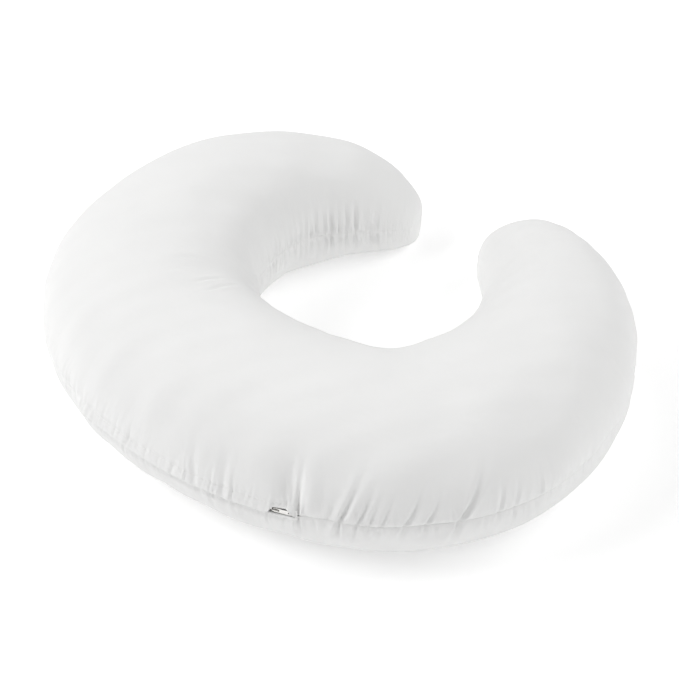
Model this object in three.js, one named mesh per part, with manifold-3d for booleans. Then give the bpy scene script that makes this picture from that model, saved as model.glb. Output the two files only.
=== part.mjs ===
// A C-shaped nursing pillow: a stuffed, sewn liner inside a two-panel cover that is closed by a zip.
// Millimetres. +Z is up, +X is to the right, and +Y points from the zipped back to the opening between
// the tips. The origin is on the surface that the pillow lies on, under the middle of its bounding box.

import * as THREE from "three";
import { mergeVertices } from "three/addons/utils/BufferGeometryUtils.js";
import Module from "manifold-3d";

const wasm = await Module();
wasm.setup();

const radians = THREE.MathUtils.degToRad;
const { clamp, smoothstep } = THREE.MathUtils;

// ---------- driving dimensions ----------

// The pillow's centreline, seen from above, is three arcs on each side of the middle of the back.
const backArc = { radius: 295, angle: radians(18) };
const cornerArc = { radius: 140, angle: radians(67) };
const armArc = { radius: 198, angle: radians(81) };
const backSetback = 134.5; // from the origin back to the centreline at the middle of the back

// The stuffed section is a superellipse that stays full round the back and tapers along the arms.
const backHalfWidth = 101;
const tipHalfWidth = 37;
const backHeight = 146;
const tipHeight = 68;
const taperStart = 195; // along the centreline, from the middle of the back
const widthTaper = 1.25;
const heightTaper = 3;
const tipRounding = 75; // length of the rounded end of each arm
const tipSquareness = 2.5; // of the rounded end, seen from above
const tipBluntness = { above: 0.65, below: 0.33 }; // the lower, the longer the tips stay tall
const sectionSquareness = 2.1;
const sag = 0.07; // how far the underside would bulge through the floor, as a share of half the height

// Fabrics, and the seam that pulls them in.
const coverThickness = 1.0;
const linerThickness = 0.8;
const layerGap = 1.2;
const seamGap = 0.8; // half of the space between two panel edges
const seamValley = { depth: 4, halfWidth: 8 };
const threadRadius = 0.45;
const curveSegments = 6; // for each rounded corner of the metal parts

// The zip, on the outer seam of the back. Its angles are about the centre of the back arc, positive
// towards +X.
const zip = {
  middle: radians(-2.5),
  halfAngle: radians(16),
  fadeAngle: radians(17.5), // where the panel edges meet again beyond the zip
  radius: 391.3, // of the tape's middle plane
  slitHalfWidth: 5,
  tapeThickness: 0.5,
  tapeOuterEdge: 13, // these heights are from the seam
  tapeInnerEdge: 2.7,
  coilOuterEdge: 2.4,
  coilInnerEdge: 0.6,
  coilThickness: 2.0,
  endClearance: radians(0.1), // from each end of the tapes to the end of the slit
};
const zipStitching = { height: 8, halfRise: 0.3, outward: 2.9, thickness: 0.4 };
const barTack = {
  halfRise: 6.5,
  halfAngle: radians(0.18),
  beyondZip: radians(0.3),
  outward: 2.5,
  thickness: 0.6,
};
const zipPocket = { depth: 4, flat: 16, fade: 40, endAngle: radians(18), fadeAngle: radians(25) };

// The slider, as it sits on the closed zip, and its pull tab. Outward distances are from the tape's
// middle plane.
const slider = {
  angle: radians(10.95),
  halfLength: 4.75,
  noseHalfWidth: 4.2,
  tailHalfWidth: 3.6,
  halfThickness: 2.4,
  corner: 1,
  wall: 0.9,
  channelHalfThickness: 1.4,
  slotHalfThickness: 0.6,
  bladeHalfThickness: 0.3,
  bladeLength: 3,
  bladeFromNose: 0.3,
  overlap: 0.2, // how far joined solids reach into each other
  cutBeyond: 1, // how far a cut reaches past the solid it is made in
};
const bridge = {
  halfLength: 3,
  halfTop: 1,
  halfHole: 1.6,
  holeTop: 4.1,
  holeCorner: 0.5,
  top: 5.1,
  halfThickness: 0.7,
};
const pullTab = {
  pivot: 3.2, // outward from the tape's middle plane
  barRadius: 0.5,
  thickness: 0.9,
  length: 15.5,
  halfWidth: 2.4,
  windowHalfWidth: 1.15,
  windowStart: 0.2,
  windowEnd: 4,
  holeRadius: 0.9,
};

// ---------- derived places ----------

const arcs = [backArc, cornerArc, armArc];
const halfLength = arcs.reduce((sum, arc) => sum + arc.radius * arc.angle, 0);
const zipCentreY = backArc.radius - backSetback;
const seamHeightAtBack = backHeight / 2;
const coverInside = coverThickness;
const linerOutside = coverInside + layerGap;
const linerInside = linerOutside + linerThickness;
const fillOutside = linerInside + layerGap;

// ---------- the shape of the pillow ----------

// The point and heading of the centreline at a distance from the middle of the back, positive towards +X.
function centreline(distance) {
  const side = distance < 0 ? -1 : 1;
  let remaining = Math.abs(distance);
  let heading = 0;
  let x = 0;
  let y = -backSetback;
  for (const { radius, angle } of arcs) {
    const turn = Math.min(remaining / radius, angle);
    x += radius * (Math.sin(heading + turn) - Math.sin(heading));
    y += radius * (Math.cos(heading) - Math.cos(heading + turn));
    heading += turn;
    remaining -= radius * turn;
  }
  return { x: side * x, y, heading: side * heading };
}

// Half-width, seam height, and reach above and below the seam, of the section at a distance along the
// centreline.
function section(distance) {
  const along = Math.abs(distance);
  const taper = clamp((along - taperStart) / (halfLength - taperStart), 0, 1);
  const intoTip = clamp((along - halfLength + tipRounding) / tipRounding, 0, 1);
  const round = (1 - intoTip ** tipSquareness) ** (1 / tipSquareness);
  const halfWidth = backHalfWidth - (backHalfWidth - tipHalfWidth) * taper ** widthTaper;
  const halfHeight = (backHeight - (backHeight - tipHeight) * taper ** heightTaper) / 2;
  return {
    halfWidth: halfWidth * round,
    seamHeight: halfHeight,
    above: halfHeight * round ** tipBluntness.above,
    below: halfHeight * (1 + sag) * round ** tipBluntness.below,
  };
}

// A point of the stuffed shape. The angle goes round the section: 0 faces outward, 90 degrees up, 180 into
// the hole.
function stuffedPoint(distance, angle) {
  const { x, y, heading } = centreline(distance);
  const { halfWidth, seamHeight, above, below } = section(distance);
  const power = 2 / sectionSquareness;
  const across = Math.sign(Math.cos(angle)) * Math.abs(Math.cos(angle)) ** power * halfWidth;
  const rise = Math.sign(Math.sin(angle)) * Math.abs(Math.sin(angle)) ** power;
  const z = seamHeight + rise * (rise > 0 ? above : below);
  return new THREE.Vector3(
    x + Math.sin(heading) * across,
    y - Math.cos(heading) * across,
    Math.max(0, z),
  );
}

// The direction out of the stuffed shape at that point.
function stuffedNormal(distance, angle) {
  const step = 0.001;
  if (Math.abs(distance) > halfLength - step) {
    const { heading } = centreline(distance);
    return new THREE.Vector3(Math.cos(heading), Math.sin(heading), 0).multiplyScalar(Math.sign(distance));
  }
  const alongStep = Math.min(1, (halfLength - Math.abs(distance)) / 2);
  const along = stuffedPoint(distance + alongStep, angle).sub(stuffedPoint(distance - alongStep, angle));
  const around = stuffedPoint(distance, angle + step).sub(stuffedPoint(distance, angle - step));
  return along.cross(around).normalize();
}

// How far a place is from the zip's middle, as an angle.
function angleFromZip(distance) {
  return Math.abs(distance / backArc.radius - zip.middle);
}

// How far the seam pulls the fabric in, at a height from the seam.
function valleyDepth(fromSeam) {
  return seamValley.depth * Math.exp(-((fromSeam / seamValley.halfWidth) ** 2));
}

// How far the liner and the filling stand back to make room for the zip.
function pocketDepth(distance, angle, fromSeam) {
  const facesOut = Math.cos(angle) > 0;
  const along = 1 - smoothstep(angleFromZip(distance), zipPocket.endAngle, zipPocket.fadeAngle);
  const up = 1 - smoothstep(Math.abs(fromSeam), zipPocket.flat, zipPocket.fade);
  return facesOut ? zipPocket.depth * along * up : 0;
}

// A point of a fabric layer, at a depth inside the stuffed shape.
function layerPoint(distance, angle, depth) {
  const point = stuffedPoint(distance, angle);
  const fromSeam = point.z - section(distance).seamHeight;
  const pocket = depth > coverInside ? pocketDepth(distance, angle, fromSeam) : 0;
  const inward = depth + valleyDepth(fromSeam) + pocket;
  return point.addScaledVector(stuffedNormal(distance, angle), -inward);
}

// Stations along the whole centreline: the zip's ends fall on stations, and they close up at the tips.
function stationsAlong() {
  const alongZip = [-17.5, -16, -12, -8, -4, 0, 4, 8, 12, 16, 17.5].map(
    (degrees) => backArc.radius * (zip.middle + radians(degrees)),
  );
  const cornerStart = backArc.radius * backArc.angle;
  const cornerSteps = 4;
  const arm = [];
  for (let i = 1; i <= cornerSteps; i++) {
    arm.push(cornerStart + (i / cornerSteps) * cornerArc.radius * cornerArc.angle);
  }
  const armStart = arm.at(-1);
  const tipStart = halfLength - tipRounding;
  const armSteps = 3;
  for (let i = 1; i <= armSteps; i++) {
    arm.push(THREE.MathUtils.lerp(armStart, tipStart, i / armSteps));
  }
  const tipSteps = 6;
  for (let i = 1; i <= tipSteps; i++) {
    arm.push(halfLength - tipRounding * (1 - i / tipSteps) ** 2.5);
  }
  const mirrored = arm.map((distance) => -distance).reverse();
  return [...mirrored, ...alongZip, cornerStart, ...arm];
}

const stations = stationsAlong();

// Rows across a panel, as shares of the way from its outer edge to its inner one, close together at the zip.
const panelRows = [0, 4, 9, 20, 36, 56, 78, 100, 124, 148, 170, 180].map((degrees) => degrees / 180);
const slitShiftEnd = 0.2; // the rows beyond this share lie where they would with no slit

// ---------- building solids ----------

// A closed solid through rings of equal point counts, capped at both ends. Rings run anticlockwise seen
// from the start. Quads are split in mirrored ways in the two halves along the solid, so that a symmetric
// solid stays symmetric, and in the two halves round a ring, so that a thin panel's faces stay parallel.
function solidThroughRings(rings) {
  const positions = [];
  const addTriangle = (a, b, c) => {
    const smallest = 1e-3;
    if (a.distanceTo(b) < smallest || b.distanceTo(c) < smallest || c.distanceTo(a) < smallest) return;
    positions.push(...a.toArray(), ...b.toArray(), ...c.toArray());
  };
  const count = rings[0].length;
  for (let i = 0; i + 1 < rings.length; i++) {
    const [near, far] = [rings[i], rings[i + 1]];
    const inFirstHalf = 2 * i + 1 < rings.length;
    for (let j = 0; j < count; j++) {
      const next = (j + 1) % count;
      const onFirstFace = 2 * j + 1 < count;
      if (inFirstHalf === onFirstFace) {
        addTriangle(near[j], far[j], near[next]);
        addTriangle(far[j], far[next], near[next]);
      } else {
        addTriangle(near[j], far[j], far[next]);
        addTriangle(near[j], far[next], near[next]);
      }
    }
  }
  const first = rings[0];
  const last = rings.at(-1);
  for (let j = 1; j + 1 < count; j++) {
    addTriangle(first[0], first[j], first[j + 1]);
    addTriangle(last[0], last[j + 1], last[j]);
  }
  const geometry = new THREE.BufferGeometry();
  geometry.setAttribute("position", new THREE.Float32BufferAttribute(positions, 3));
  return mergeVertices(geometry, 1e-3);
}

// One fabric panel: side is 1 for the upper panel and -1 for the lower. Its edges stand off the seam,
// and its outer edge stands off further along the zip.
function panelGeometry(side, outside, inside, slitHalfWidth) {
  const rings = stations.map((distance) => {
    const { seamHeight, above } = section(distance);
    const open = 1 - smoothstep(angleFromZip(distance), zip.halfAngle, zip.fadeAngle);
    const edgeRise = above > 0 ? (slitHalfWidth * open) / above : 0;
    const edgeAngle = Math.asin(edgeRise ** (sectionSquareness / 2));
    const pointAt = (row, depth) => {
      const shift = edgeAngle * (1 - smoothstep(row, 0, slitShiftEnd));
      const angle = side * (Math.PI * row + shift);
      const point = layerPoint(distance, angle, depth);
      const clearance = Math.max(side * (point.z - seamHeight), seamGap);
      point.z = seamHeight + side * clearance;
      return point;
    };
    const outer = panelRows.map((row) => pointAt(row, outside));
    const inner = panelRows.map((row) => pointAt(row, inside));
    return side > 0 ? [...outer, ...inner.reverse()] : [...inner, ...outer.reverse()];
  });
  return solidThroughRings(rings);
}

// The filling: one solid that the liner encloses.
function fillGeometry() {
  const upper = panelRows.map((row) => Math.PI * row);
  const lower = panelRows.slice(1, -1).map((row) => -Math.PI * row);
  const angles = [...upper, ...lower.reverse()];
  const rings = stations.map((distance) => angles.map((angle) => layerPoint(distance, angle, fillOutside)));
  return solidThroughRings(rings);
}

// ---------- seams ----------

// The places where stations fall on the outer side (angle 0) or the inner side (180 degrees) of the seam.
function outerPlaces(from, to) {
  return stations.filter((distance) => distance >= from && distance <= to).map((distance) => [distance, 0]);
}

function innerPlaces(from, to) {
  const between = stations.filter((distance) => distance <= from && distance >= to);
  return between.reverse().map((distance) => [distance, Math.PI]);
}

// A run of thread through [distance, angle] places in the slit between two panels' edges.
function threadGeometry(places, depth) {
  const sides = 6;
  const rings = places.map(([distance, angle]) => {
    const centre = layerPoint(distance, angle, depth);
    const outward = stuffedNormal(distance, angle).setZ(0).normalize();
    return Array.from({ length: sides }, (_, i) => {
      const turn = (2 * Math.PI * i) / sides;
      const point = centre.clone().addScaledVector(outward, threadRadius * Math.cos(turn));
      point.z += threadRadius * Math.sin(turn);
      return point;
    });
  });
  return solidThroughRings(rings);
}

// The cover's seam runs from one end of the zip round both tips and the hole to the zip's other end.
function coverSeamGeometry() {
  const leftEnd = backArc.radius * (zip.middle - zip.fadeAngle);
  const rightEnd = backArc.radius * (zip.middle + zip.fadeAngle);
  const nearTip = halfLength - 1;
  const places = [
    ...outerPlaces(rightEnd, halfLength),
    ...innerPlaces(nearTip, -nearTip),
    ...outerPlaces(-halfLength, leftEnd),
  ];
  return threadGeometry(places, coverThickness / 2);
}

// The liner is stuffed through a gap in its seam inside the hole, which is then sewn shut by hand.
const stuffingGap = backArc.radius * radians(12);
const linerThreadDepth = (linerOutside + linerInside) / 2;

function linerSeamGeometry() {
  const nearTip = halfLength - 1;
  const places = [
    [-stuffingGap, Math.PI],
    ...innerPlaces(-stuffingGap, -nearTip),
    ...outerPlaces(-halfLength, halfLength),
    ...innerPlaces(nearTip, stuffingGap),
    [stuffingGap, Math.PI],
  ];
  return threadGeometry(places, linerThreadDepth);
}

function closingStitchesGeometry() {
  const threadEnd = stuffingGap - 2;
  const places = [
    [threadEnd, Math.PI],
    ...innerPlaces(threadEnd, -threadEnd),
    [-threadEnd, Math.PI],
  ];
  return threadGeometry(places, linerThreadDepth);
}

// ---------- the zip ----------

// A strip that follows the zip. Its section is a list of [radius, height above the seam] corners,
// anticlockwise.
function stripGeometry(corners, fromAngle, toAngle, steps) {
  const rings = Array.from({ length: steps + 1 }, (_, i) => {
    const angle = THREE.MathUtils.lerp(fromAngle, toAngle, i / steps);
    return corners.map(
      ([radius, height]) =>
        new THREE.Vector3(
          radius * Math.sin(angle),
          zipCentreY - radius * Math.cos(angle),
          seamHeightAtBack + height,
        ),
    );
  });
  return solidThroughRings(rings);
}

// A rectangular section between two radii and two heights.
function rectangle(innerRadius, outerRadius, low, high) {
  return [
    [outerRadius, low],
    [outerRadius, high],
    [innerRadius, high],
    [innerRadius, low],
  ];
}

const zipSteps = 20;

// A strip along the whole zip.
function stripAlongZip(corners) {
  const reach = zip.halfAngle - zip.endClearance;
  return stripGeometry(corners, zip.middle - reach, zip.middle + reach, zipSteps);
}

function tapeGeometry(side) {
  const [low, high] = [side * zip.tapeInnerEdge, side * zip.tapeOuterEdge].sort((a, b) => a - b);
  const half = zip.tapeThickness / 2;
  const corners = rectangle(zip.radius - half, zip.radius + half, low, high);
  return stripAlongZip(corners);
}

function coilGeometry(side) {
  const sides = 8;
  const middle = (side * (zip.coilInnerEdge + zip.coilOuterEdge)) / 2;
  const halfRise = (zip.coilOuterEdge - zip.coilInnerEdge) / 2;
  const corners = Array.from({ length: sides }, (_, i) => {
    const turn = (2 * Math.PI * i) / sides;
    return [zip.radius + (zip.coilThickness / 2) * Math.cos(turn), middle + halfRise * Math.sin(turn)];
  });
  return stripAlongZip(corners);
}

// A row of stitches on the cover's surface, just clear of it, that holds a tape to its panel.
function zipStitchingGeometry(side) {
  const surface = zip.radius + zipStitching.outward;
  const low = side * zipStitching.height - zipStitching.halfRise;
  const high = side * zipStitching.height + zipStitching.halfRise;
  const corners = rectangle(surface, surface + zipStitching.thickness, low, high);
  return stripAlongZip(corners);
}

// The dense bar of stitches across the slit that ends the zip.
function barTackGeometry(side) {
  const surface = zip.radius + barTack.outward;
  const { halfRise, halfAngle } = barTack;
  const middleAngle = zip.middle + side * (zip.halfAngle + barTack.beyondZip);
  const corners = rectangle(surface, surface + barTack.thickness, -halfRise, halfRise);
  return stripGeometry(corners, middleAngle - halfAngle, middleAngle + halfAngle, 1);
}

// ---------- the slider and its pull tab ----------
// Both are built with X along the zip towards the closed end, -Y outward from the tape and Z up across
// the zip.

function solidOf(geometry) {
  const positionOnly = geometry.clone();
  positionOnly.deleteAttribute("normal");
  positionOnly.deleteAttribute("uv");
  const merged = mergeVertices(positionOnly, 1e-4);
  const mesh = new wasm.Mesh({
    numProp: 3,
    vertProperties: merged.attributes.position.array,
    triVerts: new Uint32Array(merged.index.array),
  });
  return new wasm.Manifold(mesh);
}

function geometryOf(solid) {
  const mesh = solid.getMesh();
  const geometry = new THREE.BufferGeometry();
  geometry.setAttribute("position", new THREE.BufferAttribute(mesh.vertProperties, 3));
  geometry.setIndex(new THREE.BufferAttribute(mesh.triVerts, 1));
  return geometry;
}

// A plate parallel to the tape: the outline is in X and Z, and the plate lies between two outward distances.
function plate(outline, from, to) {
  const depth = to - from;
  const geometry = new THREE.ExtrudeGeometry(outline, { depth, bevelEnabled: false, curveSegments });
  geometry.rotateX(Math.PI / 2);
  geometry.translate(0, -from, 0);
  return solidOf(geometry);
}

// The slider's outline with rounded corners: a blunt nose at +X, narrower at the tail.
function sliderOutline() {
  const { halfLength: reach, noseHalfWidth: nose, tailHalfWidth: tail, corner } = slider;
  const shape = new THREE.Shape();
  shape.moveTo(-reach + corner, -tail);
  shape.lineTo(reach - corner, -nose);
  shape.quadraticCurveTo(reach, -nose, reach, -nose + corner);
  shape.lineTo(reach, nose - corner);
  shape.quadraticCurveTo(reach, nose, reach - corner, nose);
  shape.lineTo(-reach + corner, tail);
  shape.quadraticCurveTo(-reach, tail, -reach, tail - corner);
  shape.lineTo(-reach, -tail + corner);
  shape.quadraticCurveTo(-reach, -tail, -reach + corner, -tail);
  return shape;
}

// The channel that the coils run through, inside the slider's walls and open at both ends.
function channelOutline() {
  const reach = slider.halfLength + slider.cutBeyond;
  const nose = slider.noseHalfWidth - slider.wall;
  const tail = slider.tailHalfWidth - slider.wall;
  return new THREE.Shape([
    new THREE.Vector2(-reach, -tail),
    new THREE.Vector2(reach, -nose),
    new THREE.Vector2(reach, nose),
    new THREE.Vector2(-reach, tail),
  ]);
}

function rectangleOutline(left, right, low, high) {
  return new THREE.Shape([
    new THREE.Vector2(left, low),
    new THREE.Vector2(right, low),
    new THREE.Vector2(right, high),
    new THREE.Vector2(left, high),
  ]);
}

// The arch that holds the pull tab, standing on the slider's outer plate.
function bridgeSolid() {
  const { halfLength: reach, halfTop, halfHole, holeTop, holeCorner, top } = bridge;
  const foot = slider.halfThickness - slider.overlap;
  const arch = new THREE.Shape();
  arch.moveTo(-reach, foot);
  arch.lineTo(reach, foot);
  arch.quadraticCurveTo(reach, top, halfTop, top);
  arch.lineTo(-halfTop, top);
  arch.quadraticCurveTo(-reach, top, -reach, foot);
  const hole = new THREE.Path();
  hole.moveTo(-halfHole, slider.halfThickness);
  hole.lineTo(halfHole, slider.halfThickness);
  hole.lineTo(halfHole, holeTop - holeCorner);
  hole.lineTo(halfHole - holeCorner, holeTop);
  hole.lineTo(holeCorner - halfHole, holeTop);
  hole.lineTo(-halfHole, holeTop - holeCorner);
  arch.holes.push(hole);
  const depth = 2 * bridge.halfThickness;
  const geometry = new THREE.ExtrudeGeometry(arch, { depth, bevelEnabled: false, curveSegments });
  geometry.rotateX(Math.PI);
  geometry.translate(0, 0, bridge.halfThickness);
  return solidOf(geometry);
}

function sliderGeometry() {
  const { halfThickness, channelHalfThickness, slotHalfThickness, bladeHalfThickness } = slider;
  const block = plate(sliderOutline(), -halfThickness, halfThickness);
  const channel = plate(channelOutline(), -channelHalfThickness, channelHalfThickness);
  const slotReach = slider.halfLength + slider.cutBeyond;
  const slotHalfWidth = slider.noseHalfWidth + slider.cutBeyond;
  const slotOutline = rectangleOutline(-slotReach, slotReach, -slotHalfWidth, slotHalfWidth);
  const slot = plate(slotOutline, -slotHalfThickness, slotHalfThickness);
  const bladeEnd = slider.halfLength - slider.bladeFromNose;
  const bladeStart = bladeEnd - slider.bladeLength;
  const bladeOutline = rectangleOutline(bladeStart, bladeEnd, -bladeHalfThickness, bladeHalfThickness);
  const bladeReach = channelHalfThickness + slider.overlap;
  const blade = plate(bladeOutline, -bladeReach, bladeReach);
  return geometryOf(block.subtract(channel).subtract(slot).add(blade).add(bridgeSolid()));
}

// The tab is modelled about its pivot, with its bar under the bridge and its plate along +X.
function pullTabGeometry() {
  const { barRadius, thickness, length, halfWidth, holeRadius } = pullTab;
  const { windowHalfWidth, windowStart, windowEnd } = pullTab;
  const outline = new THREE.Shape();
  outline.moveTo(0, -halfWidth);
  outline.lineTo(length - halfWidth, -halfWidth);
  outline.absarc(length - halfWidth, 0, halfWidth, -Math.PI / 2, Math.PI / 2, false);
  outline.lineTo(0, halfWidth);
  outline.lineTo(0, -halfWidth);
  const window = new THREE.Path();
  window.moveTo(windowStart, -windowHalfWidth);
  window.lineTo(windowEnd, -windowHalfWidth);
  window.lineTo(windowEnd, windowHalfWidth);
  window.lineTo(windowStart, windowHalfWidth);
  const hole = new THREE.Path().absarc(length - halfWidth, 0, holeRadius, 0, 2 * Math.PI, true);
  outline.holes.push(window, hole);
  const bar = new THREE.CylinderGeometry(barRadius, barRadius, 2 * halfWidth, 12);
  bar.rotateX(Math.PI / 2);
  return geometryOf(plate(outline, -thickness / 2, thickness / 2).add(solidOf(bar)));
}

// Where something on the zip sits, at an outward distance from the tape's middle plane.
function placeOnZip(mesh, angle, outward) {
  const radius = zip.radius + outward;
  mesh.position.set(radius * Math.sin(angle), zipCentreY - radius * Math.cos(angle), seamHeightAtBack);
  mesh.rotation.z = angle;
}

// ---------- the assembly ----------

const percale = new THREE.MeshStandardMaterial({ color: 0xf4f4f2, roughness: 0.85, metalness: 0 });
const linerCloth = new THREE.MeshStandardMaterial({ color: 0xeeeee9, roughness: 0.9, metalness: 0 });
const fibre = new THREE.MeshStandardMaterial({ color: 0xfafafa, roughness: 1, metalness: 0 });
const thread = new THREE.MeshStandardMaterial({ color: 0xf0f0ee, roughness: 0.7, metalness: 0 });
const zipTape = new THREE.MeshStandardMaterial({ color: 0xf2f2f0, roughness: 0.8, metalness: 0 });
const nylon = new THREE.MeshStandardMaterial({ color: 0xf5f5f5, roughness: 0.4, metalness: 0 });
const nickel = new THREE.MeshStandardMaterial({ color: 0xb9b9b6, roughness: 0.3, metalness: 1 });

const nursingPillow = new THREE.Group();

function addPiece(name, geometry, material) {
  const mesh = new THREE.Mesh(geometry, material);
  mesh.name = name;
  nursingPillow.add(mesh);
  return mesh;
}

addPiece("cover_top_panel", panelGeometry(1, 0, coverInside, zip.slitHalfWidth), percale);
addPiece("cover_bottom_panel", panelGeometry(-1, 0, coverInside, zip.slitHalfWidth), percale);
addPiece("cover_seam_thread", coverSeamGeometry(), thread);
addPiece("liner_top_panel", panelGeometry(1, linerOutside, linerInside, 0), linerCloth);
addPiece("liner_bottom_panel", panelGeometry(-1, linerOutside, linerInside, 0), linerCloth);
addPiece("liner_seam_thread", linerSeamGeometry(), thread);
addPiece("liner_closing_stitches", closingStitchesGeometry(), thread);
addPiece("fibre_fill", fillGeometry(), fibre);
addPiece("zip_upper_tape", tapeGeometry(1), zipTape);
addPiece("zip_lower_tape", tapeGeometry(-1), zipTape);
addPiece("zip_upper_coil", coilGeometry(1), nylon);
addPiece("zip_lower_coil", coilGeometry(-1), nylon);
addPiece("zip_upper_stitching", zipStitchingGeometry(1), thread);
addPiece("zip_lower_stitching", zipStitchingGeometry(-1), thread);
addPiece("bar_tack_left", barTackGeometry(-1), thread);
addPiece("bar_tack_right", barTackGeometry(1), thread);
placeOnZip(addPiece("slider_body", sliderGeometry(), nickel), slider.angle, 0);
placeOnZip(addPiece("pull_tab", pullTabGeometry(), nickel), slider.angle, pullTab.pivot);

export default nursingPillow;
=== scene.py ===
"""A white C-shaped nursing pillow, seen from above on a white studio floor. Everything is in metres.

The stuffed shape repeats the formulas of the CAD part, so each soft piece lies where its CAD solid lies.
"""

from collections import namedtuple
from math import cos, pi, radians, sin

import bmesh
import bpy
import numpy as np
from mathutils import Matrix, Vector


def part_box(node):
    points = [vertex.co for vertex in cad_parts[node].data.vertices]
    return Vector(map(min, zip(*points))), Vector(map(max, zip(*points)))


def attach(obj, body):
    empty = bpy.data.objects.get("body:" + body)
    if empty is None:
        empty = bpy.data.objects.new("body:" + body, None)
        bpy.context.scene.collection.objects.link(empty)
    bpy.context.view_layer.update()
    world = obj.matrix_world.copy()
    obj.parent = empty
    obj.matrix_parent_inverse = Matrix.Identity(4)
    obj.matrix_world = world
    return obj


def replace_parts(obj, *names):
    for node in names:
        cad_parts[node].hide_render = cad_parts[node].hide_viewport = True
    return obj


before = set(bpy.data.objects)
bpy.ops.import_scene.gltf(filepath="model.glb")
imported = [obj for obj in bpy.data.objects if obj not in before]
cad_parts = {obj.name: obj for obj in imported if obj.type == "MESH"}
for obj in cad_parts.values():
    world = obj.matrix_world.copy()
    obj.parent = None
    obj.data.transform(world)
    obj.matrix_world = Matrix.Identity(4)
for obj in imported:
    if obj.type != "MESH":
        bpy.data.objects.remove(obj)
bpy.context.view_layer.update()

MM = 0.001

# ---------- driving dimensions, as in the CAD part ----------

# The centreline is three arcs on each side of the middle of the back: (radius, angle).
ARCS = ((295 * MM, radians(18)), (140 * MM, radians(67)), (198 * MM, radians(81)))
BACK_SETBACK = 134.5 * MM
HALF_LENGTH = sum(radius * angle for radius, angle in ARCS)

BACK_HALF_WIDTH = 101 * MM
TIP_HALF_WIDTH = 37 * MM
BACK_HEIGHT = 146 * MM
TIP_HEIGHT = 68 * MM
TAPER_START = 195 * MM
WIDTH_TAPER = 1.25
HEIGHT_TAPER = 3
TIP_ROUNDING = 75 * MM
TIP_SQUARENESS = 2.5
TIP_BLUNTNESS_ABOVE = 0.65
TIP_BLUNTNESS_BELOW = 0.33
SQUARENESS = 2.1
SAG = 0.07

# The zip runs round the outer seam of the back. Angles are about the centre of the back's arc.
ZIP_MIDDLE = radians(-2.5)
ZIP_HALF_ANGLE = radians(16)
TACK_ANGLE = radians(16.3)
TAPE_RADIUS = 391.3 * MM
ZIP_CENTRE_Y = ARCS[0][0] - BACK_SETBACK
SEAM_HEIGHT = BACK_HEIGHT / 2
TAPE_THICKNESS = 0.5 * MM
TAPE_OUTER_EDGE = 13 * MM
TAPE_INNER_EDGE = 2.7 * MM
TAPE_SLOPE = 0.22
STITCH_HEIGHT = 8 * MM
TACK_RADIUS = 394.9 * MM
TACK_HALF_HEIGHT = 5.2 * MM

# The slider's place, from the frame.
slider_low, slider_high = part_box("slider_body")
slider_middle = (slider_low + slider_high) / 2
SLIDER_ANGLE = np.arctan2(slider_middle.x, ZIP_CENTRE_Y - slider_middle.y)

# ---------- soft dimensions ----------

CLOTH_THICKNESS = 0.5 * MM
LIP_THICKNESS = 0.9 * MM
LIP_FADE = (4 * MM, 8 * MM)  # from its edge, where a lip thins to a single cloth
LUMP_FADE = (4 * MM, 40 * MM)  # from a lip's edge, where the stuffing's unevenness starts and is full
SEAM_GAP = 0.03 * MM
SEAM_VALLEY_DEPTH = 1.8 * MM
SEAM_VALLEY_REACH = 4 * MM
SEWN_FLAT = 6 * MM  # from a seam to where gathers and puckers are full
GATHER_AT_SEAM = 0.35  # the share of a placed gather's depth right at its seam
COVER_GATHERS = 1.6 * MM  # the deepest of the seeded gathers
LINER_GATHERS = 0.9 * MM
CRUMPLE_REACH = 22 * MM  # of the cloth's small crumples, from a seam
FULL_WIDTH = 80 * MM  # a panel narrower than this is pulled in less by its seams
ARM_START = (330 * MM, 380 * MM)  # along the centreline, where the inner seam grows shallower
LINER_DEPTH = 6 * MM
FILL_DEPTH = 8 * MM
STUFFING_GAP = radians(12)
ZIP_POCKET_DEPTH = 4 * MM
ZIP_POCKET_REACH = (16 * MM, 40 * MM)
THREAD_RADIUS = 0.22 * MM
STITCH_PITCH = 3.2 * MM
SEAM_STITCH_DEPTH = 0.7 * MM

# How far from the zip's middle the lips start to close, and where they are closed. They run on past the
# left end, where the flipped pull tab reaches.
LEFT_CLOSING = (radians(17.4), radians(18.9))
RIGHT_CLOSING = (radians(16), radians(17.5))

# Where the lips part at the slider and where they meet again past its pull tab, from the slider's middle.
PARTING_START = (-7 * MM, -1 * MM)
PARTING_END = (10 * MM, 19 * MM)

# A lip beside the zip: how high its edge is on its own side of the seam, how much higher where the lips
# part, how far it hangs out, how much less where they part, and how far the right bar tack pulls it in.
Lip = namedtuple("Lip", "height lift hang flattening pull")
LIPS = {
    1: Lip(-1.9 * MM, 5.7 * MM, 3.3 * MM, 2.7 * MM, 2.6 * MM),
    -1: Lip(2.9 * MM, 0.3 * MM, -0.2 * MM, 0, 0.6 * MM),
}

# The stuffing's unevenness is a sum of waves.
LUMP_HEIGHT = 0.28 * MM
LUMP_SIZES = (70 * MM, 160 * MM)
LUMP_COUNT = 14

# A gather: where it leaves the seam, how far it reaches from it, how far its end leans along the seam,
# and its depth and half-width. A crease runs between two (distance, angle) places of the surface. A dent
# is at a place along the centreline and a height from the outer seam, and swells out if its depth is
# negative.
Gather = namedtuple("Gather", "place reach lean depth width")
Crease = namedtuple("Crease", "start end depth width")
Dent = namedtuple("Dent", "place height half_length half_height depth")

rng = np.random.default_rng(4)


def in_millimetres(kind, *rows):
    """Gathers or dents from rows of millimetres."""
    return [kind(*(MM * value for value in row)) for row in rows]


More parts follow.
